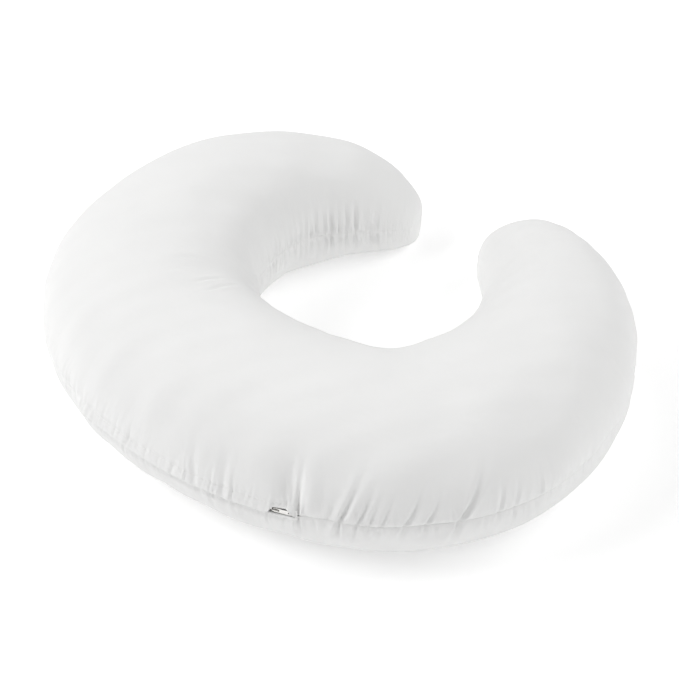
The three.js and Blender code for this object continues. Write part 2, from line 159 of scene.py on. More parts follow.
OUTER_GATHERS = in_millimetres(
    Gather,
    (72, 66, -1, 4.4, 3.8),
    (91, 30, 10, 2.0, 3.0),
    (98, 66, 26, 5.0, 4.4),
    (107, 50, 20, 3.6, 3.4),
    (113, 40, 14, 2.4, 3.0),
    (119, 40, 16, 2.8, 3.2),
    (131, 48, 24, 3.4, 3.8),
    (142, 40, 20, 3.0, 3.2),
    (159, 64, 38, 4.6, 4.6),
    (180, 38, 7, 2.0, 3.4),
    (189, 32, 7, 1.8, 3.0),
    (20, 60, -6, 1.6, 5.2),
    (-1, 60, -11, 1.4, 5.6),
    (-20, 34, 7, 1.0, 3.8),
    (-61, 26, 7, 1.2, 3.2),
    (-97, 24, 4, 1.8, 2.6),
    (-103, 28, -4, 1.5, 2.6),
)
INNER_GATHERS = in_millimetres(
    Gather,
    (-388, 36, 2, 1.4, 2.6),
    (-397, 42, 0, 2.0, 2.6),
    (-406, 32, -2, 1.4, 2.4),
    (-416, 44, 3, 2.0, 2.8),
    (-427, 36, -3, 1.5, 2.6),
    (-438, 50, 0, 2.8, 3.2),
    (-449, 36, 2, 1.4, 2.4),
    (-458, 44, -2, 2.0, 2.8),
    (-470, 46, -2, 2.6, 3.0),
    (-483, 34, 0, 1.2, 2.4),
    (-498, 42, 2, 2.6, 3.0),
    (-511, 28, 0, 1.5, 2.4),
)
TOP_CREASES = (
    Crease((-166 * MM, radians(100)), (-170 * MM, radians(113)), 0.8 * MM, 3.2 * MM),
    Crease((-146 * MM, radians(100)), (-154 * MM, radians(109)), 0.7 * MM, 3.0 * MM),
    Crease((-124 * MM, radians(110)), (-126 * MM, radians(124)), 0.9 * MM, 3.2 * MM),
    Crease((-103 * MM, radians(110)), (-109 * MM, radians(129)), 0.9 * MM, 3.2 * MM),
)
TOP_DENTS = in_millimetres(
    Dent,
    (66, 23, 9, 20, 6.4),
    (80, 24, 5, 24, -2.2),
    (86, 40, 9, 20, 1.0),
    (105, 22, 5, 20, -1.8),
    (-99, 0, 9, 8, -1.6),
)

# ---------- the pillow's shape ----------


def smoothstep(value, low, high):
    share = np.clip((value - low) / (high - low), 0, 1)
    return share * share * (3 - 2 * share)


def bell(distance, half_width):
    """1 at distance 0, fading to 0 on both sides."""
    return np.exp(-((distance / half_width) ** 2))


def centreline(distance):
    """Places and headings of the centreline at distances from the middle of the back."""
    side = np.sign(distance)
    remaining = np.abs(distance)
    heading = np.zeros_like(remaining)
    x = np.zeros_like(remaining)
    y = np.full_like(remaining, -BACK_SETBACK)
    for radius, angle in ARCS:
        turn = np.minimum(remaining / radius, angle)
        x = x + radius * (np.sin(heading + turn) - np.sin(heading))
        y = y + radius * (np.cos(heading) - np.cos(heading + turn))
        heading = heading + turn
        remaining = remaining - radius * turn
    return side * x, y, side * heading


def section(distance):
    """Half-width, seam height, and reach above and below the seam, at distances along the centreline."""
    along = np.abs(distance)
    taper = np.clip((along - TAPER_START) / (HALF_LENGTH - TAPER_START), 0, 1)
    into_tip = np.clip((along - HALF_LENGTH + TIP_ROUNDING) / TIP_ROUNDING, 0, 1)
    rounding = (1 - into_tip**TIP_SQUARENESS) ** (1 / TIP_SQUARENESS)
    half_width = BACK_HALF_WIDTH - (BACK_HALF_WIDTH - TIP_HALF_WIDTH) * taper**WIDTH_TAPER
    half_height = (BACK_HEIGHT - (BACK_HEIGHT - TIP_HEIGHT) * taper**HEIGHT_TAPER) / 2
    above = half_height * rounding**TIP_BLUNTNESS_ABOVE
    below = (1 + SAG) * half_height * rounding**TIP_BLUNTNESS_BELOW
    return half_width * rounding, half_height, above, below


def signed_power(value, power):
    return np.sign(value) * np.abs(value) ** power


def stuffed_point(distance, angle):
    """Points of the stuffed shape. Angle 0 faces outward, 90 degrees up and 180 into the hole."""
    x, y, heading = centreline(distance)
    half_width, seam_height, above, below = section(distance)
    across = signed_power(np.cos(angle), 2 / SQUARENESS) * half_width
    rise = signed_power(np.sin(angle), 2 / SQUARENESS)
    z = seam_height + rise * np.where(rise > 0, above, below)
    x = x + np.sin(heading) * across
    y = y - np.cos(heading) * across
    return np.stack(np.broadcast_arrays(x, y, np.maximum(z, 0)), axis=-1)


def unit(vectors):
    return vectors / np.maximum(np.linalg.norm(vectors, axis=-1, keepdims=True), 1e-12)


def grid_normals(points, side, stations):
    """Outward normals of a panel's grid. At the tips, where rings are points, they point along the arm."""
    along = np.gradient(points, axis=0)
    around = side * np.gradient(points, axis=1)
    normals = unit(np.cross(along, around))
    heading = centreline(stations)[2]
    ahead = np.stack([np.cos(heading), np.sin(heading), np.zeros_like(heading)], axis=-1)
    for tip in (0, -1):
        normals[tip] = ahead[tip] * np.sign(stations[tip])
    return normals


def running_length(points, axis):
    """The distance along a grid's lines from their first point."""
    steps = np.linalg.norm(np.diff(points, axis=axis), axis=-1)
    start = np.zeros_like(np.take(steps, [0], axis=axis))
    return np.concatenate([start, np.cumsum(steps, axis=axis)], axis=axis)


def spaced(start, end, spacing_at):
    """Places from start to end whose spacing follows a function of the place."""
    places = [start]
    while places[-1] < end:
        places.append(places[-1] + spacing_at(places[-1]))
    places = np.array(places)
    return start + (places - start) * (end - start) / (places[-1] - start)


def station_spacing(distance, fine, coarse):
    """Fine where the outer seam is gathered, coarse elsewhere, and finer again at the very tips."""
    gathered = smoothstep(distance, -170 * MM, -130 * MM) * (1 - smoothstep(distance, 210 * MM, 250 * MM))
    spacing = coarse + (fine - coarse) * gathered
    from_tip = max(HALF_LENGTH - abs(distance), 0)
    return min(spacing, max(0.02 * MM, 0.3 * from_tip))


def cloth_stations(fine, coarse):
    """Stations along the whole centreline."""
    return spaced(-HALF_LENGTH, HALF_LENGTH, lambda place: station_spacing(place, fine, coarse))


def row_shares(fine, coarse):
    """Rows across a panel as shares of half a turn, close together at both seams."""
    angles = np.linspace(0, pi, 400)
    arc = running_length(stuffed_point(np.zeros_like(angles), angles), axis=0)
    width = arc[-1]
    growth = 0.12
    rows = spaced(0, width, lambda place: min(fine + growth * min(place, width - place), coarse))
    return np.interp(rows, arc, angles) / pi


# ---------- the cloth's relief ----------


def zip_opening(stations):
    """1 along the zip, falling to 0 beyond it."""
    from_middle = stations / ARCS[0][0] - ZIP_MIDDLE
    return (1 - smoothstep(-from_middle, *LEFT_CLOSING)) * (1 - smoothstep(from_middle, *RIGHT_CLOSING))


def parting(stations):
    """1 where the lips part at the slider and its pull tab, falling to 0 on both sides."""
    from_slider = (stations / ARCS[0][0] - SLIDER_ANGLE) * TAPE_RADIUS
    return smoothstep(from_slider, *PARTING_START) * (1 - smoothstep(from_slider, *PARTING_END))


def lip_height(side, stations):
    """How far a lip's edge is on its own side of the seam. The upper lip covers it, save at the slider."""
    return LIPS[side].height + LIPS[side].lift * parting(stations)


def edge_heights(side, stations):
    """How far a cover panel's outer edge is on its own side of the seam, all round."""
    opening = zip_opening(stations)
    return SEAM_GAP + (lip_height(side, stations) - SEAM_GAP) * opening


def crease_profile(offset):
    """A crease of depth 1 at offset 0 with a low ridge on each side."""
    return (1 - 2 * offset**2) * np.exp(-(offset**2))


def seam_valley(from_seam):
    """How far a seam pulls the cloth in."""
    return SEAM_VALLEY_DEPTH * np.exp(-from_seam / SEAM_VALLEY_REACH)


def lip_relief(side, stations, from_edge):
    """How deep the cloth lies beside the zip. The upper lip hangs out over the lower one."""
    parted = parting(stations)[:, None]
    hang = LIPS[side].hang - LIPS[side].flattening * parted**4
    swell = hang * bell(from_edge, 11 * MM)
    from_stitches = from_edge - (STITCH_HEIGHT - lip_height(side, stations))[:, None]
    dip = 1.1 * MM * bell(from_stitches, 2.6 * MM)
    roll = 0.5 * MM * np.clip(1 - from_edge / (0.8 * MM), 0, 1) ** 2
    folded_hem = 0.6 * MM * bell(from_edge - 1.6 * MM, 1.3 * MM)
    return dip + roll - swell - folded_hem


def tack_pull(side, stations, from_edge):
    """How far the bar tack beside the slider's resting place pulls a lip in."""
    from_tack = (stations / ARCS[0][0] - ZIP_MIDDLE - TACK_ANGLE) * TAPE_RADIUS
    return LIPS[side].pull * bell(from_tack, 4 * MM)[:, None] * bell(from_edge, 6 * MM)


def gather_depth(folds, seam_place, stations, from_seam, at_seam):
    """The depth of a list of gathers over a panel's grid. at_seam is the share of it right at the seam."""
    depth = np.zeros_like(from_seam)
    for fold in folds:
        root = np.interp(fold.place, stations, seam_place)
        near = np.abs(seam_place - root) < 3 * fold.width + abs(fold.lean) + 4 * MM
        share = np.clip(from_seam[near] / fold.reach, 0, 1)
        offset = seam_place[near, None] - root - fold.lean * share
        start = at_seam + (1 - at_seam) * smoothstep(from_seam[near], 0, SEWN_FLAT)
        strength = fold.depth * start * (1 - share) ** 1.5
        depth[near] += strength * crease_profile(offset / (fold.width * (0.7 + 0.8 * share)))
    return depth


def carried_below(folds, shortened):
    """The same gathers where they cross the seam, shortened there and leaning back a little."""
    return [fold._replace(reach=shortened * fold.reach, lean=-0.2 * fold.lean) for fold in folds]


def small_gathers(deepest):
    """Seeded fine gathers all along a seam. Each panel has its own."""
    folds = []
    place = -HALF_LENGTH
    while place < HALF_LENGTH:
        depth = deepest * rng.uniform(0.25, 1) ** 1.5
        reach = rng.uniform(8, 20) * MM + 14 * depth
        lean = rng.uniform(-0.2, 0.2) * reach
        folds.append(Gather(place, reach, lean, depth, rng.uniform(1.4, 2.6) * MM))
        place += rng.uniform(3, 8.5) * MM
    return folds


def crease_depth(creases, points):
    """The depth of short creases across the open surface."""
    depth = np.zeros(points.shape[:2])
    for crease in creases:
        start = stuffed_point(*np.array(crease.start))
        line = stuffed_point(*np.array(crease.end)) - start
        share = np.clip((points - start) @ line / (line @ line), 0, 1)
        from_crease = np.linalg.norm(points - start - share[..., None] * line, axis=-1)
        depth += crease.depth * crease_profile(from_crease / crease.width)
    return depth


def dent_depth(dents, stations, from_seam):
    """The depth of dents beside the outer seam."""
    depth = np.zeros_like(from_seam)
    for dent in dents:
        along = bell(stations[:, None] - dent.place, dent.half_length)
        depth += dent.depth * along * bell(from_seam - dent.height, dent.half_height)
    return depth


def random_wave():
    """A wave's direction and pace, and its phase."""
    return rng.normal(size=3) * 2 * pi / rng.uniform(*LUMP_SIZES), rng.uniform(0, 2 * pi)


LUMP_WAVES = [random_wave() for _ in range(LUMP_COUNT)]


def lumps(points):
    """The slight unevenness of the stuffing."""
    return LUMP_HEIGHT * sum(np.sin(points @ wave + phase) for wave, phase in LUMP_WAVES)


# ---------- the simulated cover ----------


def new_object(name, data):
    made = bpy.data.objects.new(name, data)
    bpy.context.scene.collection.objects.link(made)
    return made


SIM_STATIONS = np.linspace(-HALF_LENGTH, HALF_LENGTH, 241)
SIM_SHARES = np.linspace(0, 1, 45)
SIM_FRAMES = 20
SHRINK_REACH = 30 * MM
START_UNEVENNESS = 0.25 * MM
PUCKER_RANGE = (-4 * MM, 2.5 * MM)
PUCKER_SHARE = 0.35


def weight_group(body, name, weights):
    group = body.vertex_groups.new(name=name)
    for vertex, weight in enumerate(weights.ravel()):
        group.add([vertex], float(weight), "REPLACE")
    return group.name


def dress_body(body, held, away_from_seam):
    """Makes a body an oversized cover under pressure, held at its seams and where it lies."""
    modifier = body.modifiers.new("cover", "CLOTH")
    cloth = modifier.settings
    cloth.quality = 6
    cloth.mass = 0.3
    cloth.tension_stiffness = 15
    cloth.compression_stiffness = 15
    cloth.shear_stiffness = 5
    cloth.bending_stiffness = 0.5
    cloth.bending_damping = 0.1
    cloth.air_damping = 0.3
    cloth.use_pressure = True
    cloth.uniform_pressure_force = 4
    cloth.effector_weights.gravity = 0
    cloth.vertex_group_mass = weight_group(body, "held", held)
    cloth.vertex_group_shrink = weight_group(body, "shrink", away_from_seam)
    cloth.shrink_min = -0.06
    cloth.shrink_max = 0
    modifier.point_cache.frame_start = 1
    modifier.point_cache.frame_end = SIM_FRAMES


def settled_points(body):
    """A simulated body's points after the last frame. The body is then removed."""
    scene = bpy.context.scene
    for frame_number in range(1, SIM_FRAMES + 1):
        scene.frame_set(frame_number)
    settled = body.evaluated_get(bpy.context.evaluated_depsgraph_get()).data
    points = np.zeros(3 * len(settled.vertices), np.float32)
    settled.vertices.foreach_get("co", points)
    bpy.data.objects.remove(body)
    scene.frame_set(1)
    return points.reshape(-1, 3)


def blurred(grid, steps):
    """A grid blurred along its first axis."""
    reach = 3 * steps
    weights = np.exp(-((np.arange(-reach, reach + 1) / steps) ** 2) / 2)
    padded = np.pad(grid, ((reach, reach), (0, 0)), "edge")
    shares = weights / weights.sum()
    return sum(share * padded[first : first + len(grid)] for first, share in enumerate(shares))


def simulated_puckers():
    """How far each panel of a slightly oversized cover puckers out along its seams, on a coarse grid."""
    halves = [stuffed_point(SIM_STATIONS[:, None], side * pi * SIM_SHARES) for side in (1, -1)]
    loop = np.concatenate([halves[0], halves[1][:, -2:0:-1]], axis=1)
    columns = len(SIM_SHARES)
    across = running_length(halves[0], axis=1)
    from_seam = np.minimum(across, across[:, -1:] - across)
    away = 1 - np.exp(-from_seam / SHRINK_REACH)
    away = np.concatenate([away, away[:, -2:0:-1]], axis=1)
    held = (loop[..., 2] < 0.5 * MM).astype(float)
    held[:, [0, columns - 1]] = 1
    held[[0, 1, 2, -3, -2, -1]] = 1
    jitter = np.random.default_rng(9).normal(size=loop.shape[:2])
    start = loop.copy()
    start[..., 2] += blurred(jitter, 1) * START_UNEVENNESS * (1 - held)

    body = new_object("body", rings_mesh("body", start[None]))
    body.data.flip_normals()
    dress_body(body, held, away)
    settled = settled_points(body).reshape(loop.shape)

    lower = np.concatenate([settled[:, :1], settled[:, : columns - 2 : -1]], axis=1)
    puckers = {}
    for side, base, moved in ((1, halves[0], settled[:, :columns]), (-1, halves[1], lower)):
        out = ((moved - base) * grid_normals(base, side, SIM_STATIONS)).sum(-1)
        puckers[side] = np.clip(out - blurred(out, 9), *PUCKER_RANGE)
    return puckers


def spline_rows(grid, rows):
    """A grid read at fractional row numbers. The cubic B-spline rounds off its steps."""
    low = np.clip(np.floor(rows).astype(int), 1, len(grid) - 3)
    t = (rows - low)[:, None]
    shares = ((1 - t) ** 3, 3 * t**3 - 6 * t**2 + 4, -3 * t**3 + 3 * t**2 + 3 * t + 1, t**3)
    return sum(share / 6 * grid[low + step] for step, share in enumerate(shares, start=-1))


def pucker_height(puckers, stations, shares):
    """The simulated puckers over a panel's grid, strongest along the gathered stretch beside the zip."""
    rows = np.interp(stations, SIM_STATIONS, np.arange(len(SIM_STATIONS)))
    columns = np.interp(shares, SIM_SHARES, np.arange(len(SIM_SHARES)))
    height = spline_rows(spline_rows(puckers, rows).T, columns).T
    gathered = smoothstep(stations, 60 * MM, 90 * MM) * (1 - smoothstep(stations, 200 * MM, 250 * MM))
    return height * PUCKER_SHARE * (1 + gathered)[:, None]


# ---------- meshes ----------


def add_object(name, mesh, material):
    """Adds a piece that moves with the pillow."""
    piece = new_object(name, mesh)
    mesh.materials.append(material)
    mesh.shade_smooth()
    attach(piece, "pillow")
    return piece


def grid_faces(rows, columns, first=0, flipped=False):
    """Quads of a grid of points numbered row by row from first."""
    index = first + np.arange(rows * columns).reshape(rows, columns)
    quads = np.stack([index[:-1, :-1], index[1:, :-1], index[1:, 1:], index[:-1, 1:]], axis=-1)
    quads = quads.reshape(-1, 4)
    return quads[:, ::-1] if flipped else quads


def rim_faces(rows, columns, flipped):
    """Quads that join the borders of two equal grids, one numbered after the other."""
    index = np.arange(rows * columns).reshape(rows, columns)
    around = np.concatenate([index[:, 0], index[-1, 1:], index[-2::-1, -1], index[0, -2:0:-1]])
    following = np.roll(around, -1)
    behind = rows * columns
    quads = np.stack([around, around + behind, following + behind, following], axis=-1)
    return quads[:, ::-1] if flipped else quads


def mesh_from(name, points, faces):
    mesh = bpy.data.meshes.new(name)
    mesh.from_pydata(points.reshape(-1, 3).tolist(), [], faces)
    return mesh


def merge_points(mesh):
    """Closes a mesh where rings shrink to a point."""
    cleaner = bmesh.new()
    cleaner.from_mesh(mesh)
    bmesh.ops.remove_doubles(cleaner, verts=cleaner.verts, dist=1e-6)
    bmesh.ops.recalc_face_normals(cleaner, faces=cleaner.faces)
    cleaner.to_mesh(mesh)
    cleaner.free()


def shell_mesh(name, outer, inner, cloth_places, near_seam, flipped):
    """A closed shell between two grids. cloth_places become its UV map, in metres of cloth."""
    rows, columns = outer.shape[:2]
    faces = np.concatenate(
        [
            grid_faces(rows, columns, flipped=flipped),
            grid_faces(rows, columns, first=rows * columns, flipped=not flipped),
            rim_faces(rows, columns, flipped),
        ]
    )
    mesh = mesh_from(name, np.concatenate([outer, inner]), faces.tolist())
    corners = np.zeros(len(mesh.loops), np.int32)
    mesh.loops.foreach_get("vertex_index", corners)
    places = np.concatenate([cloth_places.reshape(-1, 2)] * 2)
    mesh.uv_layers.new(name="cloth").data.foreach_set("uv", places[corners].astype(np.float32).ravel())
    strength = np.concatenate([near_seam.ravel()] * 2).astype(np.float32)
    mesh.attributes.new("near_seam", "FLOAT", "POINT").data.foreach_set("value", strength)
    merge_points(mesh)
    return mesh


def rings_mesh(name, rings):
    """A mesh through each run of rings, closed at both ends: rings is (runs, rings, sides, 3)."""
    runs, count, sides = rings.shape[:3]
    index = np.arange(runs * count * sides).reshape(runs, count, sides)
    following = np.roll(index, -1, axis=2)
    quads = np.stack([index[:, :-1], following[:, :-1], following[:, 1:], index[:, 1:]], axis=-1)
    ends = index[:, 0, ::-1].tolist() + index[:, -1].tolist()
    return mesh_from(name, rings, quads.reshape(-1, 4).tolist() + ends)


def tube_rings(path, sideways, radii, sides):
    """Rings of points round paths of shape (runs, points, 3)."""
    ahead = unit(np.gradient(path, axis=1))
    right = unit(sideways - (sideways * ahead).sum(-1, keepdims=True) * ahead)
    up = np.cross(ahead, right)
    turn = np.linspace(0, 2 * pi, sides, endpoint=False)[:, None]
    radii = np.broadcast_to(radii, path.shape[1])[None, :, None, None]
    spokes = np.cos(turn) * right[:, :, None] + np.sin(turn) * up[:, :, None]
    return path[:, :, None] + radii * spokes


def stitches_mesh(name, starts, ends, outward, radius=THREAD_RADIUS, lift=0.25 * MM):
    """One arched stitch from each start to its end, with its ends sunk into the cloth."""
    share = np.array([0, 0.12, 0.35, 0.65, 0.88, 1])[None, :, None]
    thickness = radius * np.array([0.4, 0.85, 1, 1, 0.85, 0.4])
    path = starts[:, None] + share * (ends - starts)[:, None]
    path = path + outward[:, None] * (lift * np.sin(pi * share) - 0.6 * radius)
    sideways = np.broadcast_to(outward[:, None], path.shape)
    return rings_mesh(name, tube_rings(path, sideways, thickness, 6))


# ---------- cover, liner and filling ----------


class Panel:
    """The grid of one half of a layer: its points, its normals, and its distances from both seams."""

    def __init__(self, side, stations, shares):
        self.side = side
        self.stations = stations
        self.shares = shares
        self.opening = zip_opening(stations)
        above = np.maximum(section(stations)[2], 1e-6)
        rise = np.clip(edge_heights(side, stations) / above, -1, 1)
        edge_angle = np.arcsin(signed_power(rise, SQUARENESS / 2))
        shift_end = 0.2
        shift = edge_angle[:, None] * (1 - smoothstep(shares, 0, shift_end))
        self.base = stuffed_point(stations[:, None], side * (pi * shares + shift))
        self.normals = grid_normals(self.base, side, stations)
        self.from_outer = running_length(self.base, axis=1)
        self.width = self.from_outer[:, -1:]
        self.from_inner = self.width - self.from_outer
        self.outer_place = running_length(self.base[:, 0], axis=0)
        self.inner_place = running_length(self.base[:, -1], axis=0)

    def fullness(self):
        """1 where the panel is wide, falling to 0 at the narrow tips."""
        return np.clip(self.width / FULL_WIDTH, 0, 1)

    def seam_depth(self):
        """How far the seams pull the cloth in."""
        opening = self.opening[:, None]
        lips = lip_relief(self.side, self.stations, self.from_outer)
        outer = seam_valley(self.from_outer) * (1 - opening) + lips * opening
        outer = outer + tack_pull(self.side, self.stations, self.from_outer)
        on_arm = smoothstep(np.abs(self.stations), *ARM_START)[:, None]
        inner = (1 - 0.6 * on_arm) * seam_valley(self.from_inner)
        return self.fullness() * (outer + inner)

    def inner_layer_depth(self):
        """How far the layers inside the cover are pulled in, with a pocket that clears the zip."""
        pocket = ZIP_POCKET_DEPTH * (1 - smoothstep(self.from_outer, *ZIP_POCKET_REACH))
        valleys = seam_valley(self.from_outer) + seam_valley(self.from_inner)
        return self.fullness() * 0.5 * valleys + pocket * self.opening[:, None]

    def gathered_depth(self, outer_gathers, inner_gathers, at_seam):
        """The depth of the gathers of both seams."""
        from_tip = HALF_LENGTH - np.abs(self.stations)
        full = smoothstep(from_tip, 4 * MM, 26 * MM)[:, None]
        outer = gather_depth(outer_gathers, self.outer_place, self.stations, self.from_outer, at_seam)
        inner = gather_depth(inner_gathers, self.inner_place, self.stations, self.from_inner, at_seam)
        return full * (outer + inner)

    def moved(self, depth):
        """The grid's points at a depth inside the stuffed shape, kept above the floor."""
        points = self.base - depth[..., None] * self.normals
        points[..., 2] = np.maximum(points[..., 2], 0)
        return points

    def cloth_places(self):
        """Each point's place on the flat cloth: along the centreline, and across from the middle."""
        along = np.broadcast_to(self.stations[:, None], self.from_outer.shape)
        return np.stack([along, self.from_outer - self.width / 2], axis=-1)

    def from_seam(self):
        """The distance from the nearest seam."""
        return np.minimum(self.from_outer, self.from_inner)

    def near_seam(self):
        """1 at the seams, falling to 0 away from them."""
        return np.exp(-self.from_seam() / CRUMPLE_REACH)

    def cut_area(self):
        """The area of the flat cloth, a strip along the centreline."""
        return float(np.trapz(self.width[:, 0], self.stations))


def cut_size(panel):
    """The rectangle that the flat C-shaped cut fits in."""
    x, y, heading = centreline(panel.stations)
    half = panel.width[:, 0] / 2
    edges_x = np.concatenate([x + side * np.sin(heading) * half for side in (-1, 1)])
    edges_y = np.concatenate([y - side * np.cos(heading) * half for side in (-1, 1)])
    return float(np.ptp(edges_x)), float(np.ptp(edges_y))


def declare_cloth(piece, panel):
    """Hides the CAD panel that a piece, one flat cut stretched over the filling, takes the place of. The
    cut's size and area are worked out but not used.
    """
    size, area = cut_size(panel), panel.cut_area()
    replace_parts(piece, f"{piece.name}_panel")


def make_cover_panel(panel, name, outer_gathers, inner_gathers, creases, dents, puckers, material):
    """One half of the cover, with a thicker folded lip along the zip. Returns its outer points."""
    depth = panel.seam_depth() + panel.gathered_depth(outer_gathers, inner_gathers, GATHER_AT_SEAM)
    depth += panel.gathered_depth(small_gathers(COVER_GATHERS), small_gathers(COVER_GATHERS), 0)
    free = smoothstep(panel.from_seam(), 0, SEWN_FLAT)
    depth -= pucker_height(puckers, panel.stations, panel.shares) * free
    depth += crease_depth(creases, panel.base)
    depth += dent_depth(dents, panel.stations, panel.from_outer)
    opening = panel.opening[:, None]
    lip = opening * (1 - smoothstep(panel.from_outer, *LIP_FADE))
    even = opening * (1 - smoothstep(panel.from_outer, *LUMP_FADE))
    outer = panel.moved(depth - (1 - even) * lumps(panel.base))
    thickness = CLOTH_THICKNESS + (LIP_THICKNESS - CLOTH_THICKNESS) * lip
    inner = outer - thickness[..., None] * panel.normals
    mesh = shell_mesh(name, outer, inner, panel.cloth_places(), panel.near_seam(), panel.side < 0)
    piece = add_object(name, mesh, material)
    declare_cloth(piece, panel)
    return outer


def make_liner_panel(side, name, stations, shares, material):
    panel = Panel(side, stations, shares)
    depth = LINER_DEPTH + panel.inner_layer_depth()
    depth = depth + panel.gathered_depth(small_gathers(LINER_GATHERS), small_gathers(LINER_GATHERS), 0)
    outer = panel.base - depth[..., None] * panel.normals
    inner = outer - CLOTH_THICKNESS * panel.normals
    mesh = shell_mesh(name, outer, inner, panel.cloth_places(), panel.near_seam(), side < 0)
    piece = add_object(name, mesh, material)
    declare_cloth(piece, panel)


def make_filling(stations, shares, material):
    """The stuffing: one lumpy closed body."""
    rings = []
    for side in (1, -1):
        panel = Panel(side, stations, shares)
        depth = FILL_DEPTH + panel.inner_layer_depth() - 1.5 * lumps(1.7 * panel.base)
        rings.append(panel.base - depth[..., None] * panel.normals)
    upper, lower = rings
    loop = np.concatenate([upper, lower[:, ::-1]], axis=1)
    mesh = rings_mesh("fibre_filling", loop[None])
    merge_points(mesh)
    piece = add_object("fibre_filling", mesh, material)
    return piece


# ---------- seams ----------


def read_along(line, stations, places):
    """A line of points, read at places between its stations."""
    return np.stack([np.interp(places, stations, values) for values in line.T], axis=-1)


def add_stitches(name, starts, ends, outward, material, **size):
    mesh = stitches_mesh(name, starts, ends, outward, **size)
    return add_object(name, mesh, material)


def seam_run(upper, lower, stations, row, from_place, to_place):
    """Starts, ends and outward directions of stitches between the two panels' edges."""
    places = np.arange(from_place, to_place, STITCH_PITCH / 1.2)
    edges = [read_along(grid[:, row], stations, places) for grid in (upper, lower)]
    line = sum(edges) / 2
    ahead = unit(np.gradient(line, axis=0))
    outward = unit(np.cross(ahead, [0, 0, 1]) * (1 if row == 0 else -1))
    line = line - SEAM_STITCH_DEPTH * outward
    half = 0.38 * STITCH_PITCH
    return line - half * ahead, line + half * ahead, outward


def make_seam_stitches(name, runs, material):
    starts, ends, outward = (np.concatenate(parts) for parts in zip(*runs))
    return add_stitches(name, starts, ends, outward, material)


# ---------- the zip ----------


def zip_point(angle, radius, height):
    """Points at angles round the back, at a radius and a height from the seam."""
    x = radius * np.sin(angle)
    y = ZIP_CENTRE_Y - radius * np.cos(angle)
    return np.stack(np.broadcast_arrays(x, y, SEAM_HEIGHT + height), axis=-1)


def outward_at(angle):
    """Unit vectors out of the back at angles round it."""
    return zip_point(angle, 1.0, 0) - zip_point(angle, 0.0, 0)


def zip_angles(count):
    """Angles along the tapes, which end just inside the zip's ends."""
    end = ZIP_HALF_ANGLE - radians(0.1)
    return np.linspace(ZIP_MIDDLE - end, ZIP_MIDDLE + end, count)


def make_tape(side, name, material):
    """A woven tape with thin ribs across it. It slopes inwards from the coil, under the cover."""
    angles = zip_angles(420)
    from_seam = np.linspace(TAPE_INNER_EDGE, TAPE_OUTER_EDGE, 12)
    heights = side * from_seam
    radius = TAPE_RADIUS - TAPE_SLOPE * (from_seam - TAPE_INNER_EDGE)
    rib = 0.03 * MM * np.cos(np.arange(len(angles)) * pi / 2)[:, None]
    half = TAPE_THICKNESS / 2
    outer = zip_point(angles[:, None], radius + half + rib, heights)
    inner = zip_point(angles[:, None], radius - half + rib, heights)
    along = np.broadcast_to(angles[:, None] * TAPE_RADIUS, outer.shape[:2])
    across = np.broadcast_to(heights, outer.shape[:2])
    places = np.stack([along, across], axis=-1)
    mesh = shell_mesh(name, outer, inner, places, np.zeros(outer.shape[:2]), side < 0)
    piece = add_object(name, mesh, material)
    return piece


def make_coil(side, name, material):
    """A nylon coil whose turns reach between the other coil's turns."""
    pitch = 1.3 * MM
    wire = 0.26 * MM
    half_depth = 0.8 * MM
    half_height = 1.25 * MM
    closed_height = 1.1 * MM
    opened_by = 0.7 * MM
    steps = 12
    end = ZIP_HALF_ANGLE - radians(0.25)
    turns = int(2 * end * TAPE_RADIUS / pitch)
    turn = np.arange(turns * steps + 1) / steps
    angle = ZIP_MIDDLE - end + (turn + (0.5 if side > 0 else 0)) * pitch / TAPE_RADIUS
    phase = 2 * pi * turn
    apart = smoothstep(angle, SLIDER_ANGLE, SLIDER_ANGLE + radians(1.2))
    middle = side * (closed_height + opened_by * apart)
    radius = TAPE_RADIUS + half_depth * np.sin(phase)
    path = zip_point(angle, radius, middle + half_height * np.cos(phase))
    centre = zip_point(angle, TAPE_RADIUS, middle)
    rings = tube_rings(path[None], unit(path - centre)[None], wire, 6)
    return add_object(name, rings_mesh(name, rings), material)


def make_zip_stitching(name, panel, grid, material):
    """A row of stitches on the cover along the zip, set in its dip."""
    angles = zip_angles(int(2 * ZIP_HALF_ANGLE * TAPE_RADIUS / STITCH_PITCH) + 1)
    places = angles * ARCS[0][0]
    near_seam = grid[:, : grid.shape[1] // 3]
    rise = panel.side * (near_seam[..., 2] - SEAM_HEIGHT)
    line = np.array([read_along(*columns, STITCH_HEIGHT) for columns in zip(near_seam, rise)])
    line = read_along(line, panel.stations, places)
    half = 0.36 * STITCH_PITCH * unit(np.gradient(line, axis=0))
    return add_stitches(name, line - half, line + half, outward_at(angles), material)


def make_bar_tack(side, name, material):
    """A dense bar of thread across the end of the zip."""
    half_angle = 1.2 * MM / TACK_RADIUS
    slant = 0.1 * MM
    stitches = 27
    heights = np.linspace(-TACK_HALF_HEIGHT, TACK_HALF_HEIGHT, stitches)
    middle = np.full_like(heights, ZIP_MIDDLE + side * TACK_ANGLE)
    starts = zip_point(middle - half_angle, TACK_RADIUS, heights - slant)
    ends = zip_point(middle + half_angle, TACK_RADIUS, heights + slant)
    size = {"radius": 0.24 * MM, "lift": 0.3 * MM}
    return add_stitches(name, starts, ends, outward_at(middle), material, **size)


# ---------- materials ----------


def new_material(name, color, roughness, **constants):
    """A Principled material, its node tree and its shader. Constants are socket names with _ for spaces."""
    material = bpy.data.materials.new(name)
    material.use_nodes = True
    tree = material.node_tree
    shader = tree.nodes["Principled BSDF"]
    shader.inputs["Base Color"].default_value = (*color, 1)
    shader.inputs["Roughness"].default_value = roughness
    for socket, value in constants.items():
        shader.inputs[socket.replace("_", " ")].default_value = value
    return material, tree, shader


